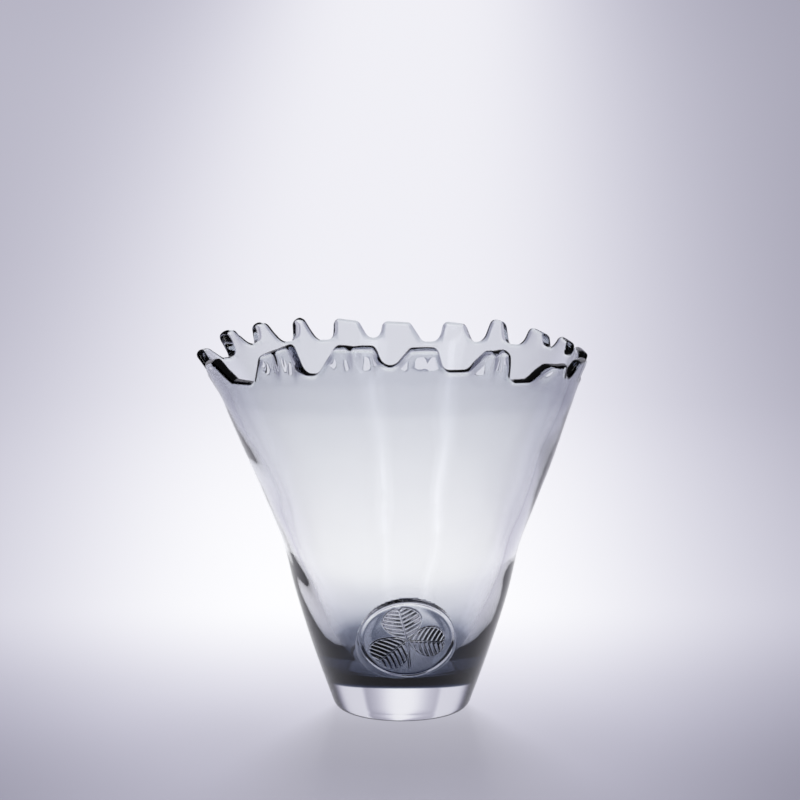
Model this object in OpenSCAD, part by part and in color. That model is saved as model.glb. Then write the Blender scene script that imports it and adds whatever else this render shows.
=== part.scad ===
/* [Overall] */
// Height of the tallest tab of the rim above the table
rim_h = 184; // [150:1:220]
// Radius of the mouth at the tips of the tabs
rim_r = 97; // [88:0.5:110]

/* [Foot and walls] */
// Radius of the flat ring that the foot stands on
foot_flat_r = 27.5; // [22:0.5:30]
// Height of the rounding between the flat and the side of the foot
foot_round_h = 4.5; // [3:0.5:7]
// Radius of the foot just above its rounding
foot_r = 33.4; // [31:0.1:38]
// Height of the slight pinch half way up the wall
waist_h = 81; // [72:1:90]
// Radius of the wall at the pinch
waist_r = 56.7; // [52:0.1:62]
// Height where the rim starts to turn out
shoulder_h = 150; // [130:1:155]
// Radius of the wall there
shoulder_r = 83.4; // [76:0.1:88]

/* [Glass thickness] */
// Thickness of the solid clear base, from the table to the underside of the smoke glass
base_t = 18.5; // [12:0.5:22]
// Thickness of the smoke glass under the cavity
smoke_floor_t = 4.5; // [3:0.5:7]
// Thickness of the whole wall half way up
wall_t = 5.4; // [4.5:0.1:7]
// Thickness that the wall gains towards the floor of the cavity
heel_t = 6.5; // [4:0.5:9]
// Height above the cavity floor over which that extra thickness fades
heel_fade_h = 62; // [40:1:80]
// Thickness of the clear glass over the smoke glass, half way up
casing_t = 2.6; // [1.8:0.1:3.2]
// Thickness of that clear glass where it runs out at the shoulder
casing_edge_t = 0.6; // [0.4:0.1:1.2]
// Thickness of the tabs
tab_t = 4.4; // [3:0.1:5.5]
// Radius of the corner between the floor and the wall of the cavity
floor_corner_r = 9; // [5:0.5:12]

/* [Cut rim] */
// Width, round the rim, of the gentle side of a tab
tab_ramp_w = 8.5; // [5:0.5:10]
// Width, round the rim, of the steep side of a tab
tab_steep_w = 4; // [2.5:0.5:6]
// How far the tabs on the side that droops lean out beyond the others
droop = 10.5; // [0:0.5:12]
// Direction of that side, counted from the front as a share of a turn
droop_turn_share = 0.767; // [0:0.001:0.999]

/* [Seal] */
// Diameter of the pressed disc
seal_d = 45; // [38:1:50]
// Height of its centre
seal_h = 44.5; // [42:0.5:60]
// Glass between the wall and the face of the disc, at its centre
seal_t = 2.2; // [1.5:0.1:5]
// How far the squeezed glass spreads beyond the disc
seal_spread = 2; // [0.5:0.5:4]
// Thickness of the rolled edge of the disc
seal_edge_d = 2.8; // [2:0.2:4]
// How far the leaves stand up from the disc
leaf_relief = 0.7; // [0.4:0.1:1.2]
// Length of the upright leaf
leaf_len = 17; // [12:0.5:18]
// Width of the upright leaf
leaf_w = 17.5; // [12:0.5:19]
// Pairs of ribs on a leaf
leaf_ribs = 7; // [4:1:9]

/* [Hidden] */

// Turn of the seal away from the front
seal_turn_share = 0.005;
// Depth of the seal's blank behind the face of the wall, before it is fitted to the wall
seal_root = seal_d / 3;

// Two points of the wall below the pinch and two above it, as shares of the way up and of the way out
lower_wall_shares = [[0.29, 0.34], [0.72, 0.78]];
upper_wall_shares = [[0.28, 0.27], [0.61, 0.62]];

// The tabs in order round the rim, starting at the front. Each row gives where the flat top begins and ends, as
// shares of a turn, the heights of those two corners, and the height of the valley that follows, as shares of the lip
tab_shares = [
    [0.0042, 0.0261, 0.88, 0.88, 0.57],
    [0.0650, 0.0814, 0.81, 0.82, 0.41],
    [0.1217, 0.1583, 0.57, 0.57, 0.31],
    [0.1806, 0.2028, 0.59, 0.60, 0.32],
    [0.2639, 0.2875, 0.60, 0.65, 0.44],
    [0.3069, 0.3278, 0.69, 0.76, 0.54],
    [0.3486, 0.3708, 0.76, 0.85, 0.59],
    [0.4014, 0.4153, 0.91, 0.97, 0.59],
    [0.4403, 0.4611, 0.87, 0.90, 0.59],
    [0.4917, 0.5167, 0.88, 0.90, 0.62],
    [0.5389, 0.5611, 0.91, 0.96, 0.63],
    [0.5905, 0.6000, 0.94, 1.00, 0.63],
    [0.6280, 0.6403, 0.91, 0.94, 0.56],
    [0.6635, 0.6764, 0.83, 0.84, 0.44],
    [0.7139, 0.7361, 0.59, 0.59, 0.35],
    [0.7833, 0.8236, 0.53, 0.60, 0.35],
    [0.8833, 0.9153, 0.75, 0.91, 0.51],
    [0.9511, 0.9803, 0.88, 0.88, 0.62]
];
tabs = len(tab_shares);

// Facets of the turned clear glass
wall_fn = 180;
// Points of a curve between two of its stations
curve_steps = 4;

function mix(a, b, t) = a + (b - a) * t;
function clamp01(t) = min(max(t, 0), 1);
function ease(t) = let (c = clamp01(t)) c * c * (3 - 2 * c);

// Smooth curve through stations, each [height, radius], in even steps of height between two stations
function slope(p, i) =
    i == 0 ? (p[1][1] - p[0][1]) / (p[1][0] - p[0][0]) :
    i == len(p) - 1 ? (p[i][1] - p[i - 1][1]) / (p[i][0] - p[i - 1][0]) :
    (p[i + 1][1] - p[i - 1][1]) / (p[i + 1][0] - p[i - 1][0]);
function span_point(p, i, t) = let (
        h = p[i + 1][0] - p[i][0],
        a = p[i][1],
        b = p[i + 1][1],
        ma = slope(p, i) * h,
        mb = slope(p, i + 1) * h
    ) [
        p[i][0] + h * t,
        a + ma * t + (3 * (b - a) - 2 * ma - mb) * t * t + (ma + mb - 2 * (b - a)) * t * t * t
    ];
function curve(p, n) = [
    for (i = [0 : len(p) - 2], k = [0 : n - 1]) span_point(p, i, k / n),
    p[len(p) - 1]
];

// The outside of the vase from the foot's rounding to the shoulder, as [height, radius]
wall_stations = concat(
    [[foot_round_h, foot_r]],
    [for (s = lower_wall_shares) [mix(foot_round_h, waist_h, s[0]), mix(foot_r, waist_r, s[1])]],
    [[waist_h, waist_r]],
    [for (s = upper_wall_shares) [mix(waist_h, shoulder_h, s[0]), mix(waist_r, shoulder_r, s[1])]],
    [[shoulder_h, shoulder_r]]
);
wall = curve(wall_stations, curve_steps);
function wall_r(z) = lookup(z, wall);

// The rounding of the foot: a quadratic curve that leaves the flat level and meets the side along its slope
foot_slope = (wall[1][1] - wall[0][1]) / (wall[1][0] - wall[0][0]);
foot_corner_r = foot_r - foot_slope * foot_round_h;
foot_round = [for (k = [0 : curve_steps]) let (t = k / curve_steps) [
    mix(mix(foot_flat_r, foot_corner_r, t), mix(foot_corner_r, foot_r, t), t),
    foot_round_h * t * t
]];

// Inside of the clear glass, which is the outside of the smoke glass
floor_h = base_t + smoke_floor_t;
function casing_here(z) =
    z > waist_h ? mix(casing_t, casing_edge_t, ease((z - waist_h) / (shoulder_h - waist_h))) : casing_t;
function joint_r(z) = wall_r(z) - casing_here(z);

// Inside of the vase
function wall_here(z) = wall_t + heel_t * pow(clamp01(1 - (z - floor_h) / heel_fade_h), 2);
function cavity_r(z) = wall_r(z) - wall_here(z);

// Rows of the smoke glass below the lip, as [radius, height]: up the outside, and down the cavity
joint_corner_r = smoke_floor_t;
joint_corner_h = base_t + joint_corner_r;
joint_rows = 9;
joint_profile = concat(
    [for (a = [0, 45]) [
        joint_r(joint_corner_h) - joint_corner_r + joint_corner_r * sin(a),
        joint_corner_h - joint_corner_r * cos(a)
    ]],
    [for (k = [0 : joint_rows]) let (z = mix(joint_corner_h, shoulder_h, k / joint_rows)) [joint_r(z), z]]
);
floor_corner_h = floor_h + floor_corner_r;
cavity_rows = 8;
cavity_profile = concat(
    [for (k = [cavity_rows - 1 : -1 : 0])
        let (z = mix(floor_corner_h, shoulder_h, k / cavity_rows)) [cavity_r(z), z]],
    [for (a = [60, 30, 0]) [
        cavity_r(floor_corner_h) - floor_corner_r + floor_corner_r * sin(a),
        floor_corner_h - floor_corner_r * cos(a)
    ]]
);

// The lip above the shoulder. It flares a little more towards its edge, and droops on one side
lip_h = rim_h - shoulder_h;
lip_flare = rim_r - shoulder_r;
// Shares of the flare that grow with the height and with its square
lip_even_share = 0.82;
lip_curl_share = 1 - lip_even_share;
// Share of the lip's height where the droop is full, how fast it grows, and how narrow it is round the rim
droop_h_share = 0.6;
droop_growth = 1.3;
droop_focus = 3;
function lip_r(u, z) = let (x = (z - shoulder_h) / lip_h)
    shoulder_r + lip_flare * (lip_even_share * x + lip_curl_share * x * x)
    + droop * pow(max(cos(360 * (u - droop_turn_share)), 0), droop_focus)
        * pow(clamp01(x / droop_h_share), droop_growth);
function lip_lean(u, z) = let (d = lip_h / 100) atan((lip_r(u, z + d) - lip_r(u, z - d)) / (2 * d));

// Columns round the rim, each [share of a turn, height of the edge as a share of the lip]
function gap_after(i) =
    tab_shares[(i + 1) % tabs][0] + (i == tabs - 1 ? 1 : 0) - tab_shares[i][1];
// Most of a gap that a side of a tab may take
side_share = 0.42;
function ramp_before(i) =
    min(tab_ramp_w / (2 * PI * rim_r), side_share * gap_after((i + tabs - 1) % tabs));
function steep_after(i) = min(tab_steep_w / (2 * PI * rim_r), side_share * gap_after(i));
side_steps = 3;
function tab_columns(i) = let (
        t = tab_shares[i],
        before = tab_shares[(i + tabs - 1) % tabs][4],
        after = t[4],
        ramp = ramp_before(i),
        steep = steep_after(i),
        valley = gap_after(i) - steep - ramp_before((i + 1) % tabs)
    ) concat(
        [for (k = [0 : side_steps]) let (s = k / side_steps)
            [t[0] - ramp * (1 - s), mix(before, t[2], ease(s))]],
        [[(t[0] + t[1]) / 2, (t[2] + t[3]) / 2]],
        [for (k = [0 : side_steps]) let (s = k / side_steps)
            [t[1] + steep * s, mix(t[3], after, ease(s))]],
        [[t[1] + steep + valley / 2, after]]
    );
columns = [for (i = [0 : tabs - 1]) each tab_columns(i)];

// One point of the lip: how far up it lies, as a share of the edge's height, how deep in the wall it lies,
// as a share of the tab's thickness, and how far below the rounded edge, in the same shares
function lip_point(c, up, deep, below) = let (
        u = c[0],
        top = shoulder_h + lip_h * c[1],
        z = mix(shoulder_h, top - tab_t * below, up),
        lean = lip_lean(u, z),
        r = lip_r(u, z) - tab_t * deep * cos(lean)
    ) [r * sin(360 * u), -r * cos(360 * u), z + tab_t * deep * sin(lean)];
function ring_point(c, p) = [p[0] * sin(360 * c[0]), -p[0] * cos(360 * c[0]), p[1]];

// Rows of the lip: [share of the height, share of the thickness, share below the edge]
lip_row_shares = [
    [0.33, 0, 0.5], [0.67, 0, 0.5], [1, 0, 0.5],
    [1, 0.15, 0.15], [1, 0.5, 0], [1, 0.85, 0.15],
    [1, 1, 0.5], [0.5, 1, 0.5], [0, 1, 0.5]
];

// A skin through rings of points, closed at both ends on the axis
module skin(rings, first, last) {
    n = len(rings[0]);
    m = len(rings);
    polyhedron(
        points = concat([for (ring = rings) each ring], [first, last]),
        faces = concat(
            [for (j = [0 : m - 2], i = [0 : n - 1])
                let (a = j * n + i, b = j * n + (i + 1) % n) [a, a + n, b]],
            [for (j = [0 : m - 2], i = [0 : n - 1])
                let (a = j * n + i, b = j * n + (i + 1) % n) [b, a + n, b + n]],
            [for (i = [0 : n - 1]) [m * n, i, (i + 1) % n]],
            [for (i = [0 : n - 1]) [m * n + 1, (m - 1) * n + (i + 1) % n, (m - 1) * n + i]]
        )
    );
}

// The smoke-grey bubble: floor, wall and the rim that is cut into tabs
module smoke_bowl() {
    color([0.42, 0.47, 0.53, 0.6])
        skin(
            concat(
                [for (p = joint_profile) [for (c = columns) ring_point(c, p)]],
                [for (s = lip_row_shares) [for (c = columns) lip_point(c, s[0], s[1], s[2])]],
                [for (p = cavity_profile) [for (c = columns) ring_point(c, p)]]
            ),
            [0, 0, base_t],
            [0, 0, floor_h]
        );
}

// The outside of the clear glass, from the middle of the foot to the shoulder
casing_outside = concat(
    [[0, 0]],
    foot_round,
    [for (k = [1 : len(wall) - 1]) [wall[k][1], wall[k][0]]]
);
// Its inside, from the shoulder to the middle of the base
casing_inside = concat(
    [for (k = [len(joint_profile) - 1 : -1 : 0]) joint_profile[k]],
    [[0, base_t]]
);

// The outside of the clear glass as a solid without its hollow
module casing_blank() {
    rotate_extrude($fn = wall_fn)
        polygon(concat(casing_outside, [[0, shoulder_h]]));
}

// The clear glass gathered over the bubble, with the thick base
module clear_casing() {
    color([0.85, 0.88, 0.92, 0.35])
        rotate_extrude($fn = wall_fn)
            polygon(concat(casing_outside, casing_inside));
}

// Lean of the wall under the seal
seal_lean = atan((wall_r(seal_h + seal_d / 2) - wall_r(seal_h - seal_d / 2)) / seal_d);

// Puts what lies flat, face up, onto the wall at the seal
module on_wall() {
    rotate([0, 0, 360 * seal_turn_share])
        translate([0, -wall_r(seal_h), seal_h])
            rotate([90 + seal_lean, 0, 0])
                children();
}

// Half width of a leaf along its length, both as shares: narrow at the stalk and full near the tip
function leaf_half_share(t) = 0.5 * pow(sin(180 * pow(t, 1.25)), 0.75);
leaf_steps = 14;
module leaf_outline(len, w) {
    polygon(concat(
        [for (k = [0 : leaf_steps]) let (t = k / leaf_steps) [w * leaf_half_share(t), len * t]],
        [for (k = [leaf_steps - 1 : -1 : 1]) let (t = k / leaf_steps) [-w * leaf_half_share(t), len * t]]
    ));
}

// Ribs leave the midrib at an angle and stop short of the leaf's edge
rib_lean = 28;
rib_w_share = 0.45;
module leaf_veins(len, w) {
    pitch = len / (leaf_ribs + 2);
    rib_w = pitch * rib_w_share;
    translate([-rib_w / 2, 0])
        square([rib_w, len]);
    for (k = [1 : leaf_ribs], side = [0, 1])
        mirror([side, 0])
            translate([0, pitch * k])
                rotate(rib_lean)
                    square([w / 2, rib_w]);
}

// One leaf: a low blade and the veins that stand up from it
module leaf(len, w) {
    linear_extrude(leaf_relief / 2)
        leaf_outline(len, w);
    linear_extrude(leaf_relief)
        intersection() {
            leaf_outline(len, w);
            leaf_veins(len, w);
        }
}

// Where the leaves meet on the disc, and the turn and size of each
sprig_shift_share = 0.02;
leaf_turns = [8, 118, -82];
leaf_size_shares = [1, 1.1, 0.95];
stalk_len_share = 0.4;
stalk_w_share = 0.03;
module sprig() {
    translate([seal_d * sprig_shift_share, 0]) {
        for (k = [0 : len(leaf_turns) - 1])
            rotate(leaf_turns[k])
                leaf(leaf_len * leaf_size_shares[k], leaf_w * leaf_size_shares[k]);
        translate([-seal_d * stalk_w_share / 2, -seal_d * stalk_len_share])
            cube([seal_d * stalk_w_share, seal_d * stalk_len_share, leaf_relief]);
    }
}

// The pressed seal: squeezed pad fitted to the wall, rolled edge and leaf relief
module leaf_seal() {
    edge_r = seal_edge_d / 2;
    color([0.75, 0.79, 0.84, 0.5]) {
        difference() {
            on_wall()
                translate([0, 0, -seal_root])
                    cylinder(
                        h = seal_root + seal_t,
                        r1 = seal_d / 2 + seal_spread,
                        r2 = seal_d / 2 - edge_r,
                        $fn = 96
                    );
            casing_blank();
        }
        on_wall()
            translate([0, 0, seal_t])
                rotate_extrude($fn = 96)
                    translate([seal_d / 2 - edge_r, 0])
                        circle(r = edge_r, $fn = 32);
        on_wall()
            translate([0, 0, seal_t])
                sprig();
    }
}

clear_casing();
smoke_bowl();
leaf_seal();
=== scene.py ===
# Hand-blown smoke glass vase with a cut rim of leaning tabs and a pressed leaf seal.
# Laid out as an add-on: sizes and finishes are properties, each group of pieces has its own operator.
import collections
import math

import bpy
import numpy as np
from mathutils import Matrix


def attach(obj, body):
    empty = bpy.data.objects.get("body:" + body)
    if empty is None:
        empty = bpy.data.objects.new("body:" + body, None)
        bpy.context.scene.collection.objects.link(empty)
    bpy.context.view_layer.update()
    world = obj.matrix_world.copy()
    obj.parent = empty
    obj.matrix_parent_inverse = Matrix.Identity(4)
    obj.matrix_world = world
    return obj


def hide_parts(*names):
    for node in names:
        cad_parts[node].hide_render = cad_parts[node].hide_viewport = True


bl_info = {
    "name": "Cut Rim Glass Vase",
    "version": (1, 0, 0),
    "blender": (4, 5, 0),
    "location": "View3D > Sidebar > Vase",
    "description": "Builds a smoke glass vase with a cut rim and a pressed leaf seal",
    "category": "Add Mesh",
}

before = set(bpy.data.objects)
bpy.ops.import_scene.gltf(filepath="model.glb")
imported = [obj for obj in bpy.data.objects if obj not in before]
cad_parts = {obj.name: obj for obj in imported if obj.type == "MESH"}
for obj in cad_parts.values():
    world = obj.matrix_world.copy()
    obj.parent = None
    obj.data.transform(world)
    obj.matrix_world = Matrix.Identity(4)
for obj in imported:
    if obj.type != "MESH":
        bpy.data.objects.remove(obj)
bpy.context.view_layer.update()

MM = 0.001
TURN = 2 * math.pi

# How many columns go round each skin, and how many steps round the outline of the cut rim
CLEAR_COLUMNS = 720
SMOKE_COLUMNS = 420
SEAL_COLUMNS = 640
SWEEP_COLUMNS = 128
EDGE_STEPS = 7200
# Columns that are enough to find the radius of the cavity's corner, and rings on the face of the seal
FEW_COLUMNS = 60
SEAL_RINGS = 108
# Points closer than this are merged
WELD = 0.002 * MM

# The tabs in order round the rim, from the front: where each one's flat top begins and ends, as shares of a
# turn, the heights of its two corners and of the valley that follows, as shares of the lip, and the widths of
# its gentle side and its steep side, as shares of the usual ones
Tab = collections.namedtuple("Tab", "start end first last valley gentle steep")
TAB_SHARES = [
    (0.0070, 0.0275, 0.85, 0.85, 0.57, 0.80, 1.0),
    (0.0680, 0.0865, 0.79, 0.80, 0.41, 0.90, 1.1),
    (0.1345, 0.1600, 0.57, 0.57, 0.31, 1.35, 1.0),
    (0.1806, 0.2028, 0.59, 0.60, 0.32, 0.80, 1.0),
    (0.2639, 0.2875, 0.60, 0.65, 0.44, 0.70, 1.0),
    (0.3069, 0.3278, 0.69, 0.76, 0.54, 0.60, 0.8),
    (0.3486, 0.3708, 0.76, 0.85, 0.59, 0.60, 0.8),
    (0.4014, 0.4153, 0.90, 0.96, 0.58, 0.55, 0.8),
    (0.4403, 0.4611, 0.86, 0.89, 0.59, 0.65, 0.5),
    (0.4917, 0.5167, 0.87, 0.89, 0.62, 0.75, 0.5),
    (0.5389, 0.5611, 0.90, 0.95, 0.63, 0.55, 0.6),
    (0.5905, 0.6000, 0.93, 0.99, 0.62, 0.60, 0.7),
    (0.6280, 0.6403, 0.90, 0.93, 0.56, 0.60, 0.7),
    (0.6635, 0.6764, 0.82, 0.83, 0.44, 0.65, 0.7),
    (0.7139, 0.7361, 0.59, 0.59, 0.35, 0.80, 1.0),
    (0.7880, 0.8080, 0.53, 0.57, 0.35, 1.00, 4.6),
    (0.8790, 0.9136, 0.71, 0.88, 0.51, 0.80, 1.2),
    (0.9503, 0.9810, 0.87, 0.87, 0.62, 1.10, 1.0),
]

# Cuts that slant through the glass, in shares of a turn: where, over what width before and after that place,
# and how far the inner face is moved
SLANT_SHARES = [
    (0.7390, 0.014, 0.012, -0.0030),
    (0.6790, 0.013, 0.010, -0.0034),
    (0.6430, 0.013, 0.010, -0.0034),
    (0.6030, 0.013, 0.010, -0.0033),
    (0.5640, 0.012, 0.010, -0.0015),
    (0.4350, 0.010, 0.013, 0.0024),
    (0.3950, 0.010, 0.013, 0.0034),
    (0.3420, 0.010, 0.013, 0.0034),
    (0.3000, 0.010, 0.013, 0.0034),
]

# Where a tab is thicker than the wall under it: the place and half its width as shares of a turn, the heights
# as shares of the lip between which it thickens, and by how much, as a share of the full swell
SWELL_SHARES = [
    (0.0100, 0.0130, 0.46, 0.68, 1.00),
    (0.0230, 0.0110, 0.51, 0.74, 1.00),
    (0.0640, 0.0110, 0.43, 0.66, 1.15),
    (0.0810, 0.0060, 0.45, 0.68, 1.05),
    (0.1300, 0.0140, 0.32, 0.54, 1.15),
    (0.8870, 0.0105, 0.38, 0.60, 1.15),
    (0.9065, 0.0080, 0.40, 0.62, 1.20),
    (0.9530, 0.0100, 0.47, 0.68, 1.20),
    (0.9740, 0.0085, 0.51, 0.71, 1.20),
    (0.2750, 0.0110, 0.40, 0.60, 0.60),
    (0.3600, 0.0110, 0.55, 0.80, 0.50),
    (0.4520, 0.0100, 0.60, 0.85, 0.45),
    (0.5040, 0.0130, 0.62, 0.86, 0.35),
    (0.5950, 0.0070, 0.60, 0.90, 0.55),
    (0.6700, 0.0070, 0.50, 0.80, 0.60),
    (0.8040, 0.0180, 0.34, 0.55, 0.60),
]

# Points of the wall from the foot's rounding to the pinch, and from there to the shoulder: height and radius,
# as shares of that way
LOWER_WALL_SHARES = [(0.29, 0.34), (0.72, 0.78)]
UPPER_WALL_SHARES = [(0.28, 0.27), (0.61, 0.62)]


def length(text, default, low=0.0, high=1.0):
    """A length in metres, shown in the scene's own unit."""
    return bpy.props.FloatProperty(
        name=text, description=text, default=default, min=low, max=high, unit="LENGTH", precision=4
    )


def share(text, default, low=0.0, high=1.0):
    """A plain number without a unit."""
    return bpy.props.FloatProperty(
        name=text, description=text, default=default, min=low, max=high, precision=3
    )


def colour(text, default):
    """A colour of a finish, without its alpha."""
    return bpy.props.FloatVectorProperty(
        name=text, description=text, default=default, min=0.0, max=1.0, size=3, subtype="COLOR"
    )


class VaseShape(bpy.types.PropertyGroup):
    """Sizes of the blown vase."""

    rim_height: length("Height of the tallest tab", 184.0 * MM)
    lip_radius: length("Radius of the mouth at the tips of the tabs", 96.65 * MM)
    foot_flat: length("Radius of the flat that the foot stands on", 27.5 * MM)
    foot_height: length("Height of the rounding of the foot", 4.5 * MM)
    foot_radius: length("Radius of the foot above its rounding", 33.4 * MM)
    waist_height: length("Height of the pinch in the wall", 81 * MM)
    waist_radius: length("Radius of the wall at the pinch", 56.7 * MM)
    shoulder_height: length("Height where the rim turns out", 150 * MM)
    shoulder_radius: length("Radius of the wall at the shoulder", 83.4 * MM)
    base: length("Thickness of the clear base", 18.1 * MM)
    smoke_floor: length("Thickness of the smoke glass under the cavity", 4.9 * MM)
    smoke_sag: length("How much lower the smoke glass hangs at the sides", 3.7 * MM)
    floor_corner: length("Radius between the floor and the wall of the cavity", 3 * MM)
    tab: length("Thickness of the tabs", 4.4 * MM)
    tab_swell: length("How much thicker a squeezed tab is", 1.5 * MM)
    tab_ramp: length("Width of the gentle side of a tab", 9.5 * MM)
    tab_steep: length("Width of the steep side of a tab", 3.6 * MM)
    tab_corner: length("Radius of the melted corners of a tab", 3.2 * MM)
    valley_corner: length("Radius of the corners between two tabs", 5.0 * MM)
    tab_smoke: length("Thickness of the smoke glass in a tab", 1.3 * MM)
    edge_round: length("How far the rounding of the cut edge reaches", 1.65 * MM)
    droop: length("How far the tabs on one side lean further out", 9.5 * MM)
    droop_turn: share("Where they lean out most, as a share of a turn from the front", 0.722)
    lean: length("How far the upper wall leans to that side", 1.8 * MM)
    wave: length("Depth of the slow waves that blowing leaves in the wall", 0.15 * MM)


class SealShape(bpy.types.PropertyGroup):
    """Sizes of the pressed seal."""

    diameter: length("Width of the pressed disc", 43.2 * MM)
    tall_share: share("Its height as a share of its width", 0.925)
    height: length("Height of its centre", 44.8 * MM)
    turn: share("Its turn away from the front", 0.0088)
    face: length("Glass between the wall and the face of the disc", 2.2 * MM)
    spread: length("How far the squeezed glass reaches beyond the disc", 3.5 * MM)
    edge: length("Width of the rolled rim of the disc", 3.2 * MM)
    relief: length("How far the leaves stand up", 1.25 * MM)
    leaf_length: length("Length of the upright leaf", 17.8 * MM)
    leaf_width: length("Width of the upright leaf", 17.7 * MM)
    ribs: bpy.props.IntProperty(name="Ribs", description="Pairs of ribs on a leaf", default=7, min=3, max=12)


class GlassFinish(bpy.types.PropertyGroup):
    """Finishes of the three glasses."""

    ior: share("Index of refraction of the glass", 1.5, 1.0, 2.0)
    clear_tint: colour("Colour of the clear glass", (0.994, 0.998, 1.0))
    smoke_tint: colour("Colour that the smoke glass lets through", (0.325, 0.375, 0.485))
    smoke_density: share("Density of the smoke colour, per metre", 240.0, 0.0, 400.0)
    ripple: share("Depth of the fine ripple on the fire polished skin", 0.02)
    ripple_scale: share("Scale of that ripple, per metre", 55.0, 1.0, 400.0)


class StudioSetup(bpy.types.PropertyGroup):
    """Camera, floor and light."""

    distance: length("Distance of the camera in front of the vase", 882 * MM, 0.1, 5.0)
    camera_height: length("Height of the camera", 236.5 * MM, 0.0, 3.0)
    pitch: bpy.props.FloatProperty(
        name="Pitch", description="How far the camera looks down", default=math.radians(5.67), subtype="ANGLE"
    )
    focal: share("Focal length in widths of the picture", 2.3213, 0.5, 8.0)
    side_shift: share("Shift of the picture, in widths", -0.00225, -0.5, 0.5)
    # The sweep's tints and glows are painted light: a bluish tint where the painted glow is dim, white where
    # it is bright, painted bright flanks and a painted glow behind the camera
    painted_dim_colour: colour("Colour of the dim parts of the sweep", (0.74, 0.71, 1.0))
    painted_bright_colour: colour("Colour of its bright parts", (0.984, 0.984, 1.0))
    glow_share: share("How much of the near floor's brightness is its own glow", 0.70)
    flank_glow: share("Brightness of the sweep's flanks", 0.68)
    front_glow: share("Brightness of the glow behind the camera", 0.15)


def ease(t):
    """Smooth step from 0 to 1."""
    t = np.clip(t, 0.0, 1.0)
    return t * t * (3 - 2 * t)


def mix(a, b, t):
    """Straight blend from a to b."""
    return a + (b - a) * t


def ramp(value, edge):
    """Smooth step from 0 to 1 over an edge, which is given by its start and its width."""
    start, width = edge
    return ease((value - start) / width)


def between(z, heights, kept=0.0):
    """Share that grows from 0 to 1 between two heights, in mm, and goes down to kept between two more."""
    start, full, ending, gone = heights
    z = z / MM
    return ramp(z, (start, full - start)) * (1 - (1 - kept) * ramp(z, (ending, gone - ending)))


def smooth_line(stations, at):
    """Smooth curve through (place, value) stations, read at the places given."""
    p = np.array([s[0] for s in stations])
    v = np.array([s[1] for s in stations])
    slope = np.gradient(v, p)
    at = np.clip(at, p[0], p[-1])
    i = np.clip(np.searchsorted(p, at, side="right") - 1, 0, len(p) - 2)
    h = p[i + 1] - p[i]
    t = (at - p[i]) / h
    rise, a, b = v[i + 1] - v[i], slope[i] * h, slope[i + 1] * h
    return v[i] + a * t + (3 * rise - 2 * a - b) * t * t + (a + b - 2 * rise) * t ** 3


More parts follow.
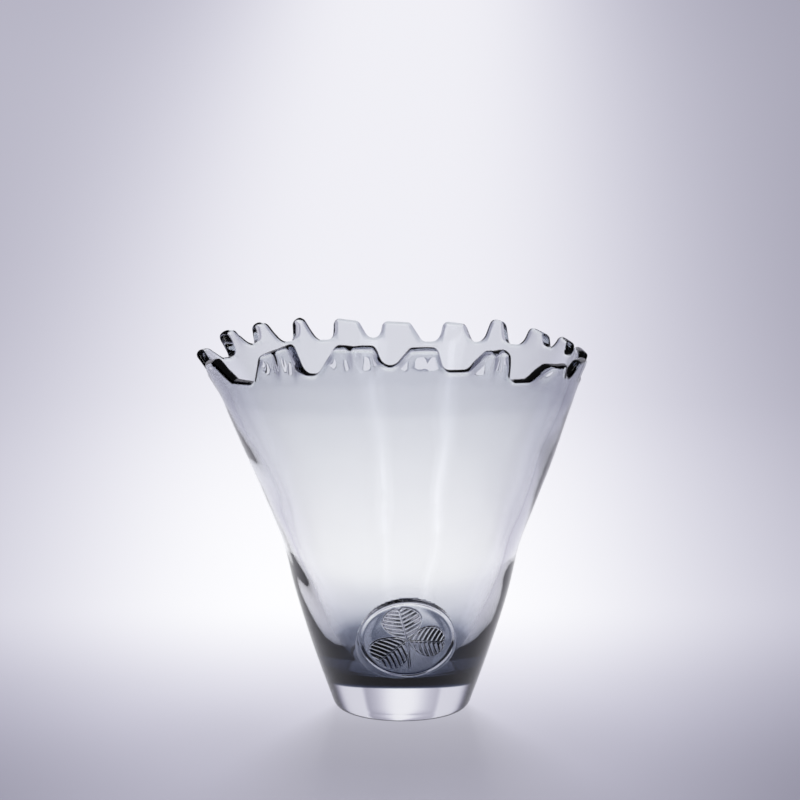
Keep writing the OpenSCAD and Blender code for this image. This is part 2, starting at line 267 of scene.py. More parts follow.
class Vase:
    """The blown form: every surface of the glass is read from here."""

    # Thickness of the whole wall at heights above the table
    WALL_STATIONS = [
        (18.5, 14.6), (20, 14.2), (25, 12.8), (38, 9.6), (50, 7.9), (62, 6.6), (75, 5.4), (88, 5.7),
        (104, 6.2), (122, 5.9), (136, 5.0), (150, 4.6),
    ]
    # Thickness of the smoke glass in it
    SMOKE_STATIONS = [
        (18.5, 14.1), (20, 13.7), (25, 11.1), (29, 6.4), (34, 3.0), (41, 1.4), (49, 0.5), (58, 0.15),
        (70, 0.06), (92, 0.08), (110, 0.32), (130, 0.62), (150, 0.9),
    ]
    # Share of the lip's flare that grows with its height squared, and how far up the lip's formulas hold
    FLARE_BEND, LIP_REACH = 0.18, 1.2
    # The side that leans out: the share of the lip's height where it does so in full, and, as powers, how
    # narrow it is and how the lean grows with the height
    DROOP_FULL, DROOP_FOCUS, DROOP_GROWTH = 0.6, 7, 1.3
    # Slow waves in the wall: the part of each, how often it goes round, and how it shifts with the height, in
    # radians per metre, and with the seed
    WAVES = [(0.45, 3, 51.0, 1.0), (0.30, 7, -90.0, 2.3), (0.25, 12, 140.0, 4.1)]
    SKIN_SEED, INSIDE_SEED = 0.7, 3.1
    # Heights in mm where the skin's waves, the inside's waves and the lean of the upper wall come and go
    SKIN_WAVES, INSIDE_WAVES, UPPER_LEAN = (20, 60, 158, 172), (30, 70, 135, 150), (105, 151, 155, 173)
    # The share of that lean which stays above them, and the depth of the inside's waves against the skin's
    LEAN_KEPT, INSIDE_DEPTH = 0.2, 1.1
    # A squeezed place, in halves of its width: where the swell begins to fade and over what width, how far
    # out its lower edge bends up, and by how much, as a share of the lip
    SWELL_EDGE = (0.3, 1.25)
    SWELL_BENDS, SWELL_BEND = 1.5, 0.05
    # The most that one side of a tab takes of the gap beside it
    WIDEST_SIDE = 0.6
    # Columns of the rim are shared out by the way round, by the outline's length and by how much it turns
    COLUMN_SHARES = (0.2, 0.5, 0.3)
    # Steps each way over which the outline's direction is smoothed, and how far each way its normal is read
    TURN_STEPS, NORMAL_REACH = 6, 0.35 * MM

    def __init__(self, shape):
        self.s = shape
        self.lip_height = shape.rim_height - shape.shoulder_height
        self.lip_flare = shape.lip_radius - shape.shoulder_radius
        foot = (shape.foot_height, shape.foot_radius)
        waist = (shape.waist_height, shape.waist_radius)
        shoulder = (shape.shoulder_height, shape.shoulder_radius)
        lower = [(mix(foot[0], waist[0], a), mix(foot[1], waist[1], b)) for a, b in LOWER_WALL_SHARES]
        upper = [(mix(waist[0], shoulder[0], a), mix(waist[1], shoulder[1], b)) for a, b in UPPER_WALL_SHARES]
        self.stations = [foot, *lower, waist, *upper, shoulder]
        self.floor_height = shape.base + shape.smoke_floor
        self.make_edge()

    def wall_radius(self, z):
        """Radius of the outside, by the height alone."""
        s = self.s
        x = np.clip((z - s.shoulder_height) / self.lip_height, 0, self.LIP_REACH)
        body = smooth_line(self.stations, z)
        return body + self.lip_flare * mix(x, x * x, self.FLARE_BEND)

    def droop(self, turn, z):
        """How far the tabs on the drooping side lean out beyond the others."""
        s = self.s
        x = np.clip((z - s.shoulder_height) / (self.DROOP_FULL * self.lip_height), 0, self.LIP_REACH)
        focus = np.clip(np.cos(TURN * (turn - s.droop_turn)), 0, 1) ** self.DROOP_FOCUS
        return s.droop * focus * x ** self.DROOP_GROWTH

    def waves(self, turn, z, seed):
        """Slow unevenness of hand-blown glass, between about -1 and 1."""
        total = 0.0
        for part, times, shift, by_seed in self.WAVES:
            total = total + part * np.sin(times * TURN * turn + shift * z + by_seed * seed)
        return total

    def skin_radius(self, turn, z):
        """Radius of the outside in each direction."""
        wave = self.s.wave * between(z, self.SKIN_WAVES) * self.waves(turn, z, self.SKIN_SEED)
        return self.wall_radius(z) + self.droop(turn, z) + wave

    def outside(self, turn, z, raise_by=0.0):
        """Points of the outside surface, lifted off it by raise_by."""
        step = 0.4 * MM
        r = self.skin_radius(turn, z)
        rise = self.skin_radius(turn, z + step) - self.skin_radius(turn, z - step)
        slope = np.arctan(rise / (2 * step))
        a = TURN * turn
        r = r + raise_by * np.cos(slope)
        up = z - raise_by * np.sin(slope)
        x = r * np.sin(a) - self.s.lean * between(z, self.UPPER_LEAN, self.LEAN_KEPT)
        return np.stack([x, -r * np.cos(a), up], axis=-1), slope

    def inward(self, turn, z, depth):
        """Points a depth inside the outside surface, at right angles to it."""
        points, slope = self.outside(turn, z)
        a = TURN * turn
        inwards = np.stack([-np.sin(a) * np.cos(slope), np.cos(a) * np.cos(slope), np.sin(slope)], axis=-1)
        return points + inwards * np.asarray(depth)[..., None]

    def level_in(self, turn, z, depth):
        """Points a depth inside the outside surface, measured level."""
        points, _ = self.outside(turn, z)
        a = TURN * turn
        points[:, 0] -= depth * np.sin(a)
        points[:, 1] += depth * np.cos(a)
        return points

    def wall_thickness(self, turn, z):
        """Thickness of the wall below the shoulder, measured level."""
        t = smooth_line([(a * MM, b * MM) for a, b in self.WALL_STATIONS], z)
        deep = self.INSIDE_DEPTH * self.s.wave * between(z, self.INSIDE_WAVES)
        return t + deep * self.waves(turn, z, self.INSIDE_SEED)

    def swell(self, turn, z):
        """How much thicker the lip is where its tabs were squeezed."""
        s = self.s
        x = (z - s.shoulder_height) / self.lip_height
        squares = np.zeros(np.shape(turn))
        for place, half, low, high, share_of in SWELL_SHARES:
            away = np.abs((turn - place + 0.5) % 1 - 0.5) / half
            across = 1 - ramp(away, self.SWELL_EDGE)
            bend = self.SWELL_BEND * np.minimum(away, self.SWELL_BENDS) ** 2
            squares = squares + (share_of * across * ease((x - low - bend) / (high - low))) ** 2
        return s.tab_swell * np.sqrt(squares)

    def slant(self, turn):
        """How far the inner face is moved round the rim where a cut slants through the glass."""
        move = np.zeros(np.shape(turn))
        for place, before, after, most in SLANT_SHARES:
            at = (turn - place + 0.5) % 1 - 0.5
            away = np.where(at < 0, -at / before, at / after)
            move = move + most * (1 - ease(away))
        return move

    def smoke_thickness(self, z):
        """Thickness of the smoke glass below the shoulder."""
        return smooth_line([(a * MM, b * MM) for a, b in self.SMOKE_STATIONS], z)

    def make_edge(self):
        """Outline of the cut rim, unrolled: heights over the way round, with melted corners."""
        s = self.s
        self.round = TURN * s.lip_radius
        self.step = self.round / EDGE_STEPS
        self.way = np.arange(EDGE_STEPS) / EDGE_STEPS
        tabs = [Tab(*shares) for shares in TAB_SHARES]
        gentle, steep = s.tab_ramp / self.round, s.tab_steep / self.round
        heights = np.zeros(EDGE_STEPS)
        for i, tab in enumerate(tabs):
            before, after = tabs[i - 1], tabs[(i + 1) % len(tabs)]
            gap_in = (tab.start - before.end) % 1
            gap_out = (after.start - tab.end) % 1
            most_in, most_out = self.WIDEST_SIDE * gap_in, self.WIDEST_SIDE * gap_out
            rise_in, fall_in = min(tab.gentle * gentle, most_in), min(before.steep * steep, most_in)
            rise_out, fall_out = min(after.gentle * gentle, most_out), min(tab.steep * steep, most_out)
            half_in = 0.5 * (gap_in + rise_in - fall_in)
            half_out = 0.5 * (gap_out + fall_out - rise_out)
            at = (self.way - tab.start + 0.5) % 1 - 0.5
            wide = (tab.end - tab.start) % 1
            top = mix(tab.first, tab.last, np.clip(at / wide, 0, 1))
            up = np.clip((at + rise_in) / rise_in, 0, 1)
            down = 1 - np.clip((at - wide) / fall_out, 0, 1)
            valley = np.where(at < 0.5 * wide, before.valley, tab.valley)
            mine = (at >= -half_in) & (at < wide + half_out)
            heights = np.where(mine, mix(valley, top, up * down), heights)
        heights = s.shoulder_height + self.lip_height * heights
        heights = self.grow(self.shrink(heights, s.tab_corner), s.tab_corner)
        self.edge = self.shrink(self.grow(heights, s.valley_corner), s.valley_corner)

    def shrink(self, heights, radius):
        """Moves an outline in by a radius, as a ball that rolls inside it."""
        reach = int(radius / self.step)
        out = np.full_like(heights, 10.0)
        for k in range(-reach, reach + 1):
            drop = math.sqrt(max(radius ** 2 - (k * self.step) ** 2, 0.0))
            out = np.minimum(out, np.roll(heights, -k) - drop)
        return out

    def grow(self, heights, radius):
        """Moves an outline out by a radius."""
        return -self.shrink(-heights, radius)

    def edge_columns(self, count, inset):
        """Columns along the outline, closer where it turns: way round, height and outward normal of each."""
        outline = self.shrink(self.edge, inset) if inset > 0 else self.edge
        closed = np.append(outline, outline[0])
        rise = np.diff(closed)
        even = np.append(self.way, 1.0)
        along = np.concatenate([[0], np.cumsum(np.hypot(rise, self.step))])
        angle = np.arctan2(rise, self.step)
        near = range(-self.TURN_STEPS, self.TURN_STEPS + 1)
        angle = sum(np.roll(angle, k) for k in near) / len(near)
        turned_by = np.concatenate([[0], np.cumsum(np.abs(np.roll(angle, -1) - angle))])
        by_way, by_length, by_turning = self.COLUMN_SHARES
        mixed = by_way * even + by_length * along / along[-1] + by_turning * turned_by / turned_by[-1]
        way = np.interp(np.arange(count) / count, mixed, even)
        height = np.interp(way, even, closed)
        soft = self.NORMAL_REACH / self.round
        ahead = np.interp((way + soft) % 1, even, closed)
        behind = np.interp((way - soft) % 1, even, closed)
        tangent = np.stack([np.full(count, 2 * soft * self.round), ahead - behind], axis=-1)
        tangent /= np.linalg.norm(tangent, axis=-1)[:, None]
        normal = np.stack([-tangent[:, 1], tangent[:, 0]], axis=-1)
        return way, height, normal


def deselect_all():
    """Nothing selected and no object active in edit mode."""
    if bpy.context.object and bpy.context.object.mode != "OBJECT":
        bpy.ops.object.mode_set(mode="OBJECT")
    bpy.ops.object.select_all(action="DESELECT")


def blown_grid(name, rows):
    """A blown skin: a grid primitive wrapped round the axis. rows holds one ring of points after another."""
    count = rows.shape[1]
    deselect_all()
    bpy.ops.mesh.primitive_grid_add(x_subdivisions=count, y_subdivisions=len(rows) - 1, size=2)
    piece = bpy.context.object
    piece.name = name
    mesh = piece.data
    at = np.zeros(len(mesh.vertices) * 3)
    mesh.vertices.foreach_get("co", at)
    at = at.reshape(-1, 3)
    column = np.rint((at[:, 0] + 1) / 2 * count).astype(int) % count
    row = np.rint((at[:, 1] + 1) / 2 * (len(rows) - 1)).astype(int)
    placed = rows[row, column]
    mesh.vertices.foreach_set("co", placed.astype(np.float32).ravel())
    mesh.update()
    bpy.ops.object.mode_set(mode="EDIT")
    bpy.ops.mesh.select_all(action="SELECT")
    bpy.ops.mesh.remove_doubles(threshold=WELD)
    bpy.ops.mesh.normals_make_consistent(inside=False)
    bpy.ops.mesh.select_all(action="DESELECT")
    bpy.ops.object.mode_set(mode="OBJECT")
    bpy.ops.object.transform_apply(location=True, rotation=True, scale=True)
    bpy.ops.object.shade_smooth()
    return piece


def ring(turn, radius, z):
    """A level ring of points."""
    a = TURN * turn
    r = np.broadcast_to(radius, turn.shape)
    return np.stack([r * np.sin(a), -r * np.cos(a), np.broadcast_to(z, turn.shape)], axis=-1)


# The melted edge: the least that its rounding reaches, how blunt its section is, as a power, and the last
# ring before it, as a share of the way up
EDGE_LEAST, EDGE_BLUNT, LAST_RING = 0.3 * MM, 0.85, 0.96
# The most clear glass over the smoke glass in the edge itself, and below it the start and the width of the
# change to the full depth
EDGE_SKIN, EDGE_SKIN_ENDS = 1.4 * MM, (0.5 * MM, 0.9 * MM)
# How fast a slanting cut reaches its full slant, going up the inside
SLANT_GROWTH = 1.4
# How far below the shoulder the columns are evenly spread
EVEN_BELOW = 45 * MM
# Heights in mm between which the rings lie closer, because the seal's outline has to be found there
SEAL_BAND = (22, 69)
# The inner wall's first ring lies this far above the shoulder
INSIDE_START = 0.5 * MM
# The smoke glass: how far inside the cut edge it ends, how far inside the cavity's skin it lies, and the
# rounding of its lower edge
SMOKE_INSET, SMOKE_GAP, SMOKE_ROUND = 0.4 * MM, 0.15 * MM, 1.0 * MM
# How much narrower it gets where it sags, and how much less its rounding's top sags, as shares of the sag
SAG_NARROWS, SAG_RISES = 0.4, 0.3


def crown_rows(vase, count, skin, inner_skin, swell_share, inset, lip_rows, bead_rows):
    """Rings of the lip: from the shoulder up the outside, over the melted edge and down the inside again.

    skin and inner_skin are how far the piece stays inside the outer and the inner surface of the glass, and
    swell_share is how much of a squeezed tab's extra thickness is this piece's."""
    s = vase.s
    way, height, normal = vase.edge_columns(count, inset)
    cap = max(s.edge_round - inset, EDGE_LEAST)
    base_way = way - normal[:, 0] * cap / vase.round
    base_z = height - normal[:, 1] * cap
    rings = []

    def depth(u, z, deep):
        """Depth under the outside, at a share of the way through the piece."""
        swell = vase.swell(u, z)
        within = (height - z) * normal[:, 1]
        here = mix(min(skin, EDGE_SKIN), skin, ramp(within, EDGE_SKIN_ENDS))
        room = s.tab - here - inner_skin + swell_share * swell
        return here + (1 - swell_share) * swell + room * deep

    steps = [*np.linspace(0, 1, lip_rows + 1)[:-1], LAST_RING]
    for t in steps:
        z = mix(s.shoulder_height, base_z, t)
        rings.append(vase.inward(base_way, z, depth(base_way, z, 0.0)))
    for k in range(bead_rows + 1):
        turn_here = math.pi * k / bead_rows
        e = cap * (1 - math.sin(turn_here) ** EDGE_BLUNT)
        z = height - normal[:, 1] * e
        u = way - normal[:, 0] * e / vase.round
        deep = (1 - math.cos(turn_here)) / 2
        u = u + vase.slant(way) * deep
        rings.append(vase.inward(u, z, depth(u, z, deep)))
    for t in steps[:0:-1]:
        z = mix(s.shoulder_height, base_z, t)
        u = base_way + vase.slant(way) * ease(SLANT_GROWTH * t)
        rings.append(vase.inward(u, z, depth(u, z, 1.0)))
    return rings, base_way


def body_turns(count, crown_way, z, shape):
    """Columns of the wall: as on the lip at the shoulder, and evenly spread further down."""
    even = np.arange(count) / count
    return mix(even, crown_way, ramp(z, (shape.shoulder_height - EVEN_BELOW, EVEN_BELOW)))


def cavity_wall(vase, count, way, rings, gap):
    """Rings of the inner wall, from the shoulder down to the floor's corner, a gap outside the cavity."""
    s = vase.s
    rows = []
    for z in np.linspace(s.shoulder_height + INSIDE_START, vase.floor_height + s.floor_corner, rings):
        turn = body_turns(count, way, z, s)
        heights = np.full(count, z)
        rows.append(vase.level_in(turn, heights, vase.wall_thickness(turn, heights) - gap))
    return rows


def cavity_corner(vase, even, radius, gap):
    """Rings of the rounded corner between that wall and the floor, a gap outside the cavity."""
    reach = vase.s.floor_corner + gap
    height = vase.floor_height + vase.s.floor_corner
    rows = []
    for a in np.radians([75, 60, 45, 30, 15, 0]):
        rows.append(ring(even, radius + gap - reach * (1 - math.sin(a)), height - reach * math.cos(a)))
    return rows


def clear_rows(vase, count):
    """All rings of the whole glass body, from under the foot to the middle of the cavity's floor."""
    s = vase.s
    crown, way = crown_rows(
        vase, count, skin=0.0, inner_skin=0.0, swell_share=1.0, inset=0.0, lip_rows=8, bead_rows=9
    )
    even = np.arange(count) / count
    rows = [ring(even, part * s.foot_flat, 0.0) for part in (0.0, 0.45, 0.97)]
    slope = float((vase.wall_radius(np.array(s.foot_height + MM)) - s.foot_radius) / MM)
    corner = s.foot_radius - slope * s.foot_height
    for t in np.linspace(0, 1, 7)[:-1]:
        r = mix(mix(s.foot_flat, corner, t), mix(corner, s.foot_radius, t), t)
        rows.append(ring(even, r, s.foot_height * t * t))
    low, high = SEAL_BAND
    heights = [
        *np.linspace(s.foot_height / MM, low, 6)[:-1],
        *np.arange(low, high, 1.0),
        *np.linspace(high + 1, s.shoulder_height / MM, 17)[:-1],
    ]
    for z in np.array(heights) * MM:
        turn = body_turns(count, way, z, s)
        rows.append(vase.outside(turn, np.full(count, z))[0])
    rows += crown
    rows += cavity_wall(vase, count, way, 25, 0.0)
    corner_radius = float(np.hypot(rows[-1][:, 0], rows[-1][:, 1]).mean())
    rows += cavity_corner(vase, even, corner_radius, 0.0)
    half_floor = 0.5 * (corner_radius - s.floor_corner)
    rows += [ring(even, half_floor, vase.floor_height), ring(even, 0.0, vase.floor_height)]
    return np.array(rows), corner_radius


def smoke_rows(vase, count, corner_radius, gap):
    """Rings of the smoke glass: it lies just under the skin of the cavity, inside the clear glass."""
    s = vase.s
    crown, way = crown_rows(
        vase, count, skin=s.tab - s.tab_smoke, inner_skin=gap, swell_share=0.0, inset=SMOKE_INSET, lip_rows=8,
        bead_rows=6
    )
    even = np.arange(count) / count
    rows = [ring(even, 0.0, s.base), ring(even, 0.5 * s.foot_flat, s.base)]
    low = s.base + SMOKE_ROUND

    def outer(z):
        """One ring of the face towards the clear glass."""
        turn = body_turns(count, way, z, s)
        heights = np.full(count, z)
        depth = vase.wall_thickness(turn, heights) - vase.smoke_thickness(heights) - gap
        return vase.level_in(turn, heights, depth)

    first = outer(low)
    low_radius = float(np.hypot(first[:, 0], first[:, 1]).mean())
    # The gather hangs lower on both sides of the vase
    sag = s.smoke_sag * np.sin(TURN * even) ** 2
    for a in np.radians([0, 18, 36, 54, 72]):
        rim = low_radius - SMOKE_ROUND * (1 - math.sin(a)) - SAG_NARROWS * sag
        rows.append(ring(even, rim, low - SMOKE_ROUND * math.cos(a) - sag * (1 - SAG_RISES * math.sin(a))))
    for z in np.linspace(low, s.shoulder_height - MM, 54):
        rows.append(outer(z))
    rows += crown
    rows += cavity_wall(vase, count, way, 36, gap)
    rows += cavity_corner(vase, even, corner_radius, gap)
    rows.append(ring(even, 0.0, vase.floor_height - gap))
    return np.array(rows)


def principled(name):
    """A new material with its Principled shader."""
    material = bpy.data.materials.new(name)
    material.use_nodes = True
    nodes = material.node_tree.nodes
    return material, nodes, material.node_tree.links, nodes["Principled BSDF"]


def fill(node, values):
    """Sets inputs of a node by their names."""
    for name, value in values.items():
        node.inputs[name].default_value = value


def glass(name, tint, ior, level):
    """A new see-through material with smooth faces: its colour, its refraction and its level of shine."""
    material, nodes, links, shader = principled(name)
    fill(shader, {"Base Color": (*tint, 1), "Roughness": 0.0, "IOR": ior, "Transmission Weight": 1.0})
    fill(shader, {"Specular IOR Level": level})
    return material, nodes, links, shader


def clear_glass(finish):
    """Clear glass, with the fine unevenness of a fire polished skin as bump on Object coordinates."""
    material, nodes, links, shader = glass("clear_glass_polished", finish.clear_tint, finish.ior, 0.5)
    place = nodes.new("ShaderNodeTexCoord")
    noise = nodes.new("ShaderNodeTexNoise")
    fill(noise, {"Scale": finish.ripple_scale, "Detail": 2.0})
    bump = nodes.new("ShaderNodeBump")
    fill(bump, {"Strength": finish.ripple, "Distance": 1.0 * MM})
    links.new(place.outputs["Object"], noise.inputs["Vector"])
    links.new(noise.outputs["Fac"], bump.inputs["Height"])
    links.new(bump.outputs["Normal"], shader.inputs["Normal"])
    return material


def fused_glass():
    """The face between two clear glasses that are fused: nothing bends or shines there."""
    return glass("fused_face", (1, 1, 1), 1.0, 0.0)[0]


def smoke_glass(finish):
    """Smoke glass inside clear glass: it bends nothing at its faces, and its colour grows with its depth."""
    material, nodes, links, _ = glass("smoke_glass_core", (1, 1, 1), 1.0, 0.0)
    inside = nodes.new("ShaderNodeVolumeAbsorption")
    fill(inside, {"Color": (*finish.smoke_tint, 1), "Density": finish.smoke_density})
    links.new(inside.outputs["Volume"], nodes["Material Output"].inputs["Volume"])
    return material


class VASE_OT_clear(bpy.types.Operator):
    """Blow the clear glass: the skin, the cavity, the cut rim and the thick base"""

    bl_idname = "vase.clear"
    bl_label = "Clear glass"

    def execute(self, context):
        vase = Vase(context.scene.vase_shape)
        rows, _ = clear_rows(vase, CLEAR_COLUMNS)
        piece = blown_grid("clear_glass_body", rows)
        place = SealPlace(context.scene.vase_seal, vase)
        finish_clear(piece, context.scene.vase_finish, place, WALL_FUSED)
        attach(piece, "root")
        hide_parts("clear_casing")
        return {"FINISHED"}


class VASE_OT_smoke(bpy.types.Operator):
    """Blow the smoke glass inside the clear glass"""

    bl_idname = "vase.smoke"
    bl_label = "Smoke glass"

    def execute(self, context):
        vase = Vase(context.scene.vase_shape)
        _, corner = clear_rows(vase, FEW_COLUMNS)
        piece = blown_grid("smoke_glass_core", smoke_rows(vase, SMOKE_COLUMNS, corner, SMOKE_GAP))
        piece.data.materials.append(smoke_glass(context.scene.vase_finish))
        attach(piece, "root")
        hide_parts("smoke_bowl")
        return {"FINISHED"}


def turned(points, degrees):
    """Points of the seal's plane, turned about its middle."""
    a = math.radians(degrees)
    x, y = points
    return x * math.cos(a) + y * math.sin(a), -x * math.sin(a) + y * math.cos(a)


# The blade of a leaf: how far beyond its middle it is widest and how blunt its ends are, as powers, where the
# notch in its tip lies, as a share of its length, and how steeply the notch's sides rise
BLADE_WIDEST, BLADE_BLUNT, NOTCH, NOTCH_RISE = 1.36, 0.46, 0.93, 0.8
# Its ribs: how they slope and bend up towards the edge, the bend per metre, and their bluntness, as a power
RIB_SLOPE, RIB_BEND, RIB_BLUNT = 0.30, 12.0, 0.6
# The start and the width of the blade's edge and of the ribs' ends, from the outline and from the middle vein
BLADE_EDGE, RIB_EDGE, RIB_ROOT = (-0.25 * MM, 0.7 * MM), (0.3 * MM, 0.9 * MM), (0.25 * MM, 0.5 * MM)
# Half the width of the middle vein, and where the raised border lies inside the outline, with half its width
VEIN, BORDER_AT, BORDER = 0.6 * MM, 0.35 * MM, 0.5 * MM
# Height of the blade between the ribs, of the vein and of the border, as shares of the relief
BLADE_LEVEL, VEIN_LEVEL, BORDER_LEVEL = 0.15, 0.9, 0.8


def leaf_relief(x, y, long, wide, ribs):
    """Height share of one ribbed leaf whose stalk is at the middle and whose notched tip points up."""

    def half_width(at):
        """Half the width of the blade, widest a little beyond its middle."""
        along = np.clip(at / long, 0.0005, 0.9995)
        return 0.5 * wide * np.sin(np.pi * along ** BLADE_WIDEST) ** BLADE_BLUNT

    ax = np.abs(x)
    step = 0.1 * MM
    slope = (half_width(y + step) - half_width(y - step)) / (2 * step)
    inside = (half_width(y) - ax) / np.sqrt(1 + slope ** 2)
    inside = np.minimum(inside, (NOTCH * long + NOTCH_RISE * ax - y) / math.hypot(1, NOTCH_RISE))
    inside = np.where((y > 0) & (y < long), inside, -1.0 * MM)
    pitch = NOTCH * long / (ribs + 1)
    along = (y - RIB_SLOPE * ax - RIB_BEND * ax * ax) / pitch
    rib = (0.5 + 0.5 * np.cos(TURN * along)) ** RIB_BLUNT * ramp(inside, RIB_EDGE) * ramp(ax, RIB_ROOT)
    vein = ease(1 - ax / VEIN) * (y > 0)
    border = ease(1 - np.abs(inside - BORDER_AT) / BORDER)
    top = np.maximum(np.maximum(mix(BLADE_LEVEL, 1, rib), VEIN_LEVEL * vein), BORDER_LEVEL * border)
    return ramp(inside, BLADE_EDGE) * top


class SealPlace:
    """Where the seal sits on the wall, and its outline and relief."""

    # Direction, clockwise from the top, and size of each leaf
    LEAVES = [(-13, 1.04, 1.03), (-133, 1.09, 1.08), (95, 0.99, 0.98)]
    # Directions in which the squeezed glass reaches out, how far, and how narrow that is
    SPREADS = [(-132, 1.2, 4.0), (128, 0.8, 5.0), (180, 0.25, 2.0)]
    LEAST_SPREAD = 0.03
    # The rolled rim, from the face over its crest and down to the wall: how far in from the outline, as a
    # share of the rim's width, and the height above the wall as a share of the face's
    RIM_SHARES = [
        (1.00, 1.00), (0.78, 1.02), (0.66, 1.08), (0.56, 1.22), (0.46, 1.37), (0.36, 1.50), (0.28, 1.56),
        (0.21, 1.52), (0.165, 1.38), (0.13, 1.15), (0.10, 0.90), (0.07, 0.65), (0.035, 0.40), (0.0, 0.20),
    ]
    # The squeezed glass beyond it: how far out as a share of its reach, and the height where it reaches most,
    # over that of its thin edge
    PAD_SHARES = [(0.15, 0.18), (0.4, 0.26), (0.7, 0.24), (0.9, 0.14), (1.0, 0.0)]
    PAD_EDGE, PAD_MOST = 0.07, 1.2
    # The face against the wall: radii of its rings, as shares of the outline's, and how far off it lies
    UNDER_SHARES, UNDER_LIFT = (1.0, 0.97, 0.9, 0.75, 0.6, 0.45, 0.3, 0.15, 0.0), 0.02 * MM
    # How flat the face is, between the wall's own curve and a plane, and where and over what width it goes
    # over to that curve, as shares of the disc's width
    FLATNESS, FLAT_ENDS = 0.75, (0.36, 0.14)
    # How far the sprig's middle lies off the disc's, as shares of its width
    SPRIG_OFF = (0.009, 0.008)
    # The stalk: its lean, half its width, where it ends, as a share of the disc's width, and its height share
    STALK_LEAN, STALK, STALK_END, STALK_LEVEL = 0.10, 0.9 * MM, 0.36, 0.7
    # How far inside the seal's outline the wall's faces begin to be fused
    MARGIN = 0.15 * MM

    def __init__(self, seal, vase):
        self.seal, self.vase = seal, vase
        middle, lean = vase.outside(np.array([seal.turn]), np.array([seal.height]))
        self.middle, self.lean = middle[0], float(lean[0])
        a = TURN * seal.turn
        self.right = np.array([math.cos(a), math.sin(a), 0.0])
        out = np.array([math.sin(a), -math.cos(a), 0.0])
        self.out = out * math.cos(self.lean) - np.array([0, 0, math.sin(self.lean)])
        self.up = out * math.sin(self.lean) + np.array([0, 0, math.cos(self.lean)])

    def on_wall(self, turn, r, lift, flat):
        """Points r from the seal's middle, lifted off the wall's curve or, by the share flat, off a plane."""
        a = TURN * turn
        px, py = r * np.sin(a), r * np.cos(a) * self.seal.tall_share
        z = self.seal.height + py * math.cos(self.lean)
        across = np.clip(px / self.vase.wall_radius(z), -0.99, 0.99)
        way = self.seal.turn + np.arcsin(across) / TURN
        plane = self.middle + px[:, None] * self.right + py[:, None] * self.up + lift[:, None] * self.out
        bowed, _ = self.vase.outside(way, z, lift)
        soft = flat * (1 - ramp(r / self.seal.diameter, self.FLAT_ENDS))
        return mix(bowed, plane, soft[:, None])

    def spread(self, turn):
        """How far the squeezed glass reaches beyond the disc in each direction."""
        reach = np.full(np.shape(turn), self.LEAST_SPREAD)
        for degrees, most, narrow in self.SPREADS:
            away = np.cos(TURN * turn - math.radians(degrees))
            reach = reach + most * np.clip(away, 0, 1) ** narrow
        return self.seal.spread * reach

    def sprig(self, r, turn):
        """Relief of the three leaves and their stalk, as a share."""
        seal = self.seal
        a = TURN * turn
        px, py = (r * go + off * seal.diameter for go, off in zip((np.sin(a), np.cos(a)), self.SPRIG_OFF))
        height = np.zeros(np.shape(turn))
        for degrees, long, wide in self.LEAVES:
            x, y = turned((px, py), -degrees)
            leaf = leaf_relief(x, y, seal.leaf_length * long, seal.leaf_width * wide, seal.ribs)
            height = np.maximum(height, leaf)
        stalk = ease(1 - np.abs(px + self.STALK_LEAN * py) / self.STALK) * ease(-py / MM)
        stalk = stalk * (1 - ramp(-py, (self.STALK_END * seal.diameter, 2 * MM)))
        return np.maximum(height, self.STALK_LEVEL * stalk)

    def under(self, at):
        """How far points lie off the wall under the seal, or far off beyond its outline."""
        radius = np.hypot(at[:, 0], at[:, 1])
        way = np.arctan2(at[:, 0], -at[:, 1]) / TURN
        off = np.abs(radius - self.vase.skin_radius(way, at[:, 2])) * math.cos(self.lean)
        flat = at - self.middle
        px, py = flat @ self.right, (at[:, 2] - self.seal.height) / math.cos(self.lean) / self.seal.tall_share
        turn = np.arctan2(px, py) / TURN
        reach = self.seal.diameter / 2 + self.spread(turn)
        inside = (np.hypot(px, py) < reach - self.MARGIN) & (at[:, 1] < 0)
        return np.where(inside, off, 1.0)


# Faces of the wall and of the seal whose middle is nearer than this to the wall under the seal are fused
WALL_FUSED, SEAL_FUSED = 0.5 * MM, 0.1 * MM


def finish_clear(piece, finish, place, fused):
    """Gives a piece clear glass, and a fused face where its faces lie nearer than fused under the seal."""
    mesh = piece.data
    mesh.materials.append(clear_glass(finish))
    mesh.materials.append(fused_glass())
    at = np.zeros(len(mesh.polygons) * 3)
    mesh.polygons.foreach_get("center", at)
    index = np.where(place.under(at.reshape(-1, 3)) < fused, 1, 0)
    mesh.polygons.foreach_set("material_index", index.astype(np.int32))
    mesh.update()


